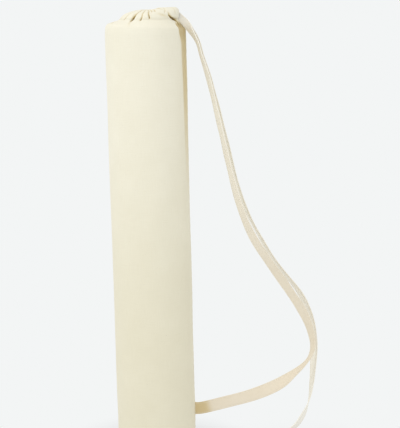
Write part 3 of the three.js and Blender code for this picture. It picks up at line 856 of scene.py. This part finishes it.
def canvas_material(name, light, dark, lower_shade_colour, pitch):
    """Plain woven cotton: yarns over and under, slubs, darker flecks; painted shade, darker and browner
    towards the foot and dark in the creases.
    """
    material = bpy.data.materials.new(name)
    material.use_nodes = True
    tree = material.node_tree
    shader = tree.nodes["Principled BSDF"]
    uv = node(tree, "ShaderNodeUVMap", uv_map="cloth").outputs[0]
    place = node(tree, "ShaderNodeTexCoord").outputs["Object"]

    wander = node(tree, "ShaderNodeTexNoise", {"Vector": uv, "Scale": 190.0, "Detail": 2.0})
    shift = node(tree, "ShaderNodeVectorMath", {0: wander.outputs["Color"], 1: (0.5, 0.5, 0.5)},
                 operation="SUBTRACT").outputs[0]
    shift = node(tree, "ShaderNodeVectorMath", {0: shift, "Scale": 0.45 * pitch},
                 operation="SCALE").outputs[0]
    bent = node(tree, "ShaderNodeVectorMath", {0: uv, 1: shift}, operation="ADD").outputs[0]
    split = node(tree, "ShaderNodeSeparateXYZ", {0: bent})
    across = math_node(tree, "MULTIPLY", split.outputs[0], math.pi / pitch)
    along = math_node(tree, "MULTIPLY", split.outputs[1], math.pi / pitch)
    warp = math_node(tree, "ABSOLUTE", math_node(tree, "SINE", across))
    weft = math_node(tree, "ABSOLUTE", math_node(tree, "SINE", along))
    over = math_node(tree, "MULTIPLY", math_node(tree, "COSINE", across), math_node(tree, "COSINE", along))
    share = math_node(tree, "ADD", math_node(tree, "MULTIPLY", over, 0.5), 0.5)
    yarns = node(tree, "ShaderNodeMix", {"Factor": share, "A": warp, "B": weft}, data_type="FLOAT").outputs[0]

    def slubs(stretch, scale):
        thin = node(tree, "ShaderNodeMapping", {"Vector": uv, "Scale": stretch}).outputs[0]
        return node(tree, "ShaderNodeTexNoise", {"Vector": thin, "Scale": scale, "Detail": 2.0}).outputs[0]

    upright = slubs((1, 0.05, 1), 900.0)
    level = slubs((0.05, 1, 1), 900.0)
    slub = math_node(tree, "MULTIPLY", math_node(tree, "ADD", upright, level), 0.5)
    soft = node(tree, "ShaderNodeTexNoise", {"Vector": place, "Scale": 16.0, "Detail": 3.0}).outputs[0]
    fleck = node(tree, "ShaderNodeTexNoise", {"Vector": uv, "Scale": 520.0, "Detail": 1.0}).outputs[0]
    fleck = node(tree, "ShaderNodeMapRange", {"Value": fleck, "From Min": 0.7, "From Max": 0.8}).outputs[0]

    fine = math_node(tree, "MULTIPLY", slub, 0.6)
    broad = math_node(tree, "MULTIPLY", soft, 0.45)
    tone = math_node(tree, "ADD", fine, broad)
    tone = node(tree, "ShaderNodeMapRange", {"Value": tone, "From Min": 0.2, "From Max": 0.8}).outputs[0]
    raised = math_node(tree, "ADD", math_node(tree, "MULTIPLY", yarns, 0.2), 0.8)
    tone = math_node(tree, "MULTIPLY", tone, raised)
    colour = node(tree, "ShaderNodeMix", {"Factor": tone, "A": (*dark, 1), "B": (*light, 1)},
                  data_type="RGBA")
    fleck_colour = tuple(0.72 * c for c in dark)
    mixed = node(tree, "ShaderNodeMix", {"Factor": math_node(tree, "MULTIPLY", fleck, 0.35),
                                         "A": colour.outputs[2], "B": (*fleck_colour, 1)}, data_type="RGBA")
    # Painted shade: the colour darker and browner towards the foot.
    low = node(tree, "ShaderNodeAttribute", attribute_name="lower_shade").outputs["Fac"]
    lower_shaded = node(tree, "ShaderNodeMix", {"Factor": low, "A": (1, 1, 1, 1), "B": (*lower_shade_colour, 1)},
                data_type="RGBA")
    mixed = node(tree, "ShaderNodeMix", {"Factor": 1.0, "A": mixed.outputs[2], "B": lower_shaded.outputs[2]},
                 data_type="RGBA", blend_type="MULTIPLY")
    # Painted shade from the shade attribute: creases, the tuck and the strap's sewn-in end tinted tan, the
    # deepest folds dark brown.
    painted_shade = node(tree, "ShaderNodeAttribute", attribute_name="shade").outputs["Fac"]
    shade_tinted = node(tree, "ShaderNodeMix", {"Factor": painted_shade, "A": mixed.outputs[2], "B": PAINTED_SHADE_COLOUR},
                  data_type="RGBA")
    deep = node(tree, "ShaderNodeMapRange", {"Value": painted_shade, "From Min": 0.5, "To Max": 0.7}).outputs[0]
    final = node(tree, "ShaderNodeMix", {"Factor": deep, "A": shade_tinted.outputs[2], "B": PAINTED_FOLD_SHADOW_COLOUR},
                 data_type="RGBA")
    tree.links.new(final.outputs[2], shader.inputs["Base Color"])

    weave = math_node(tree, "ADD", yarns, math_node(tree, "MULTIPLY", slub, 0.8))
    bump = node(tree, "ShaderNodeBump", {"Height": weave, "Strength": 0.35, "Distance": 0.12 * MM})
    fuzz = node(tree, "ShaderNodeTexNoise", {"Vector": uv, "Scale": 95.0, "Detail": 3.0}).outputs[0]
    lump = node(tree, "ShaderNodeBump", {"Height": fuzz, "Strength": 0.25, "Distance": 0.5 * MM,
                                         "Normal": bump.outputs[0]})
    tree.links.new(lump.outputs[0], shader.inputs["Normal"])
    rough = node(tree, "ShaderNodeMapRange", {"Value": slub, "To Min": 0.84, "To Max": 0.97}).outputs[0]
    tree.links.new(rough, shader.inputs["Roughness"])
    shader.inputs["Sheen Weight"].default_value = 0.12
    shader.inputs["Sheen Roughness"].default_value = 0.5
    shader.inputs["Specular IOR Level"].default_value = 0.2
    return material


def thread_material():
    """Twisted cotton thread, a little paler than the cloth."""
    material = bpy.data.materials.new("thread")
    material.use_nodes = True
    tree = material.node_tree
    shader = tree.nodes["Principled BSDF"]
    place = node(tree, "ShaderNodeTexCoord").outputs["Object"]
    twist = node(tree, "ShaderNodeTexWave", {"Vector": place, "Scale": 900.0, "Distortion": 1.5},
                 wave_type="BANDS", bands_direction="DIAGONAL").outputs["Fac"]
    colour = node(tree, "ShaderNodeMix", {"Factor": twist, "A": (0.76, 0.71, 0.585, 1),
                                          "B": (0.88, 0.85, 0.745, 1)}, data_type="RGBA")
    tree.links.new(colour.outputs[2], shader.inputs["Base Color"])
    bump = node(tree, "ShaderNodeBump", {"Height": twist, "Strength": 0.4, "Distance": 0.1 * MM})
    tree.links.new(bump.outputs[0], shader.inputs["Normal"])
    shader.inputs["Roughness"].default_value = 0.8
    shader.inputs["Specular IOR Level"].default_value = 0.25
    return material


# Floor, light and camera

BACKDROP = (0.896, 0.913, 0.913)


def studio():
    """A seamless pale floor and backdrop, a soft dome that is dimmer on the right, and a key light."""
    scene = bpy.context.scene
    scene.view_settings.view_transform = "Standard"
    world = bpy.data.worlds.new("studio")
    scene.world = world
    world.use_nodes = True
    tree = world.node_tree
    tree.nodes.clear()
    seen = node(tree, "ShaderNodeBackground", {"Color": (*BACKDROP, 1), "Strength": 1.0})
    direction = node(tree, "ShaderNodeTexCoord").outputs["Generated"]
    split = node(tree, "ShaderNodeSeparateXYZ", {0: direction})
    lean = math_node(tree, "MULTIPLY", split.outputs[0], -0.29)
    lean = math_node(tree, "ADD", lean, math_node(tree, "MULTIPLY", split.outputs[1], -0.34))
    lean = math_node(tree, "ADD", lean, math_node(tree, "MULTIPLY", split.outputs[2], 0.12))
    glow = node(tree, "ShaderNodeMapRange", {"Value": lean, "From Min": -0.6, "From Max": 0.6,
                                             "To Min": 0.76, "To Max": 1.22}).outputs[0]
    dome = node(tree, "ShaderNodeBackground", {"Color": (1, 0.995, 0.985, 1), "Strength": glow})
    path = node(tree, "ShaderNodeLightPath").outputs["Is Camera Ray"]
    both = node(tree, "ShaderNodeMixShader", {0: path, 1: dome.outputs[0], 2: seen.outputs[0]})
    out = node(tree, "ShaderNodeOutputWorld")
    tree.links.new(both.outputs[0], out.inputs[0])

    size = 30
    mesh = bpy.data.meshes.new("floor")
    corners = [(-size, -size, 0), (size, -size, 0), (size, size, 0), (-size, size, 0)]
    mesh.from_pydata(corners, [], [(0, 1, 2, 3)])
    floor = bpy.data.objects.new("floor", mesh)
    floor.location.z = -0.2 * MM
    scene.collection.objects.link(floor)
    material = bpy.data.materials.new("floor")
    material.use_nodes = True
    tree = material.node_tree
    tree.nodes.clear()
    # Painted shadow: the floor's even glow is dimmed where ambient occlusion finds the bag close by.
    near = node(tree, "ShaderNodeAmbientOcclusion", {"Distance": 0.1}, samples=16).outputs["AO"]
    shade = node(tree, "ShaderNodeMapRange", {"Value": near, "From Min": 0.1, "From Max": 1.0,
                                              "To Min": 0.55, "To Max": 1.0}).outputs[0]
    tint = node(tree, "ShaderNodeEmission", {"Color": (*BACKDROP, 1), "Strength": shade})
    out = node(tree, "ShaderNodeOutputMaterial")
    tree.links.new(tint.outputs[0], out.inputs[0])
    mesh.materials.append(material)

    light = bpy.data.lights.new("key", "AREA")
    light.shape = "DISK"
    light.size = 1.3
    light.energy = 5
    light.color = (1.0, 0.985, 0.96)
    key = bpy.data.objects.new("key", light)
    key.location = (-1.1, -1.2, 1.75)
    aim = Vector((0.03, 0, 0.55)) - key.location
    key.rotation_euler = aim.to_track_quat("-Z", "Y").to_euler()
    scene.collection.objects.link(key)


def camera():
    """The photograph's view: level with the top of the bag, looking a little down on its middle."""
    data = bpy.data.cameras.new("camera")
    data.sensor_width = 36
    data.lens = 113.97
    data.clip_end = 100
    pitch = math.radians(8.6)
    roll = math.radians(-1.392)
    level = Vector((1, 0, 0))
    over = Vector((0, math.sin(pitch), math.cos(pitch)))
    ahead = Vector((0, math.cos(pitch), -math.sin(pitch)))
    right = math.cos(roll) * level + math.sin(roll) * over
    up = -math.sin(roll) * level + math.cos(roll) * over
    turn = Matrix((right, up, -ahead)).transposed()
    obj = bpy.data.objects.new("camera", data)
    obj.matrix_world = Matrix.Translation((0.0789, -2.1313, 0.6949)) @ turn.to_4x4()
    bpy.context.scene.collection.objects.link(obj)
    bpy.context.scene.camera = obj


camera()
studio()
canvas = canvas_material("canvas", (0.87, 0.842, 0.72), (0.78, 0.742, 0.6), (0.91, 0.895, 0.84), YARN)
# The tape's colours are its own paler cream, and partly painted light that brightens the strap where its
# faces turn from the light.
tape = canvas_material("tape", (0.955, 0.935, 0.87), (0.875, 0.835, 0.745), (0.85, 0.785, 0.69), YARN)
thread = thread_material()
tube_cloth(canvas)
casing_band(canvas)
base_disc(canvas)
strap_tape(tape)
casing_stitches(thread)
strap_stitches(thread)
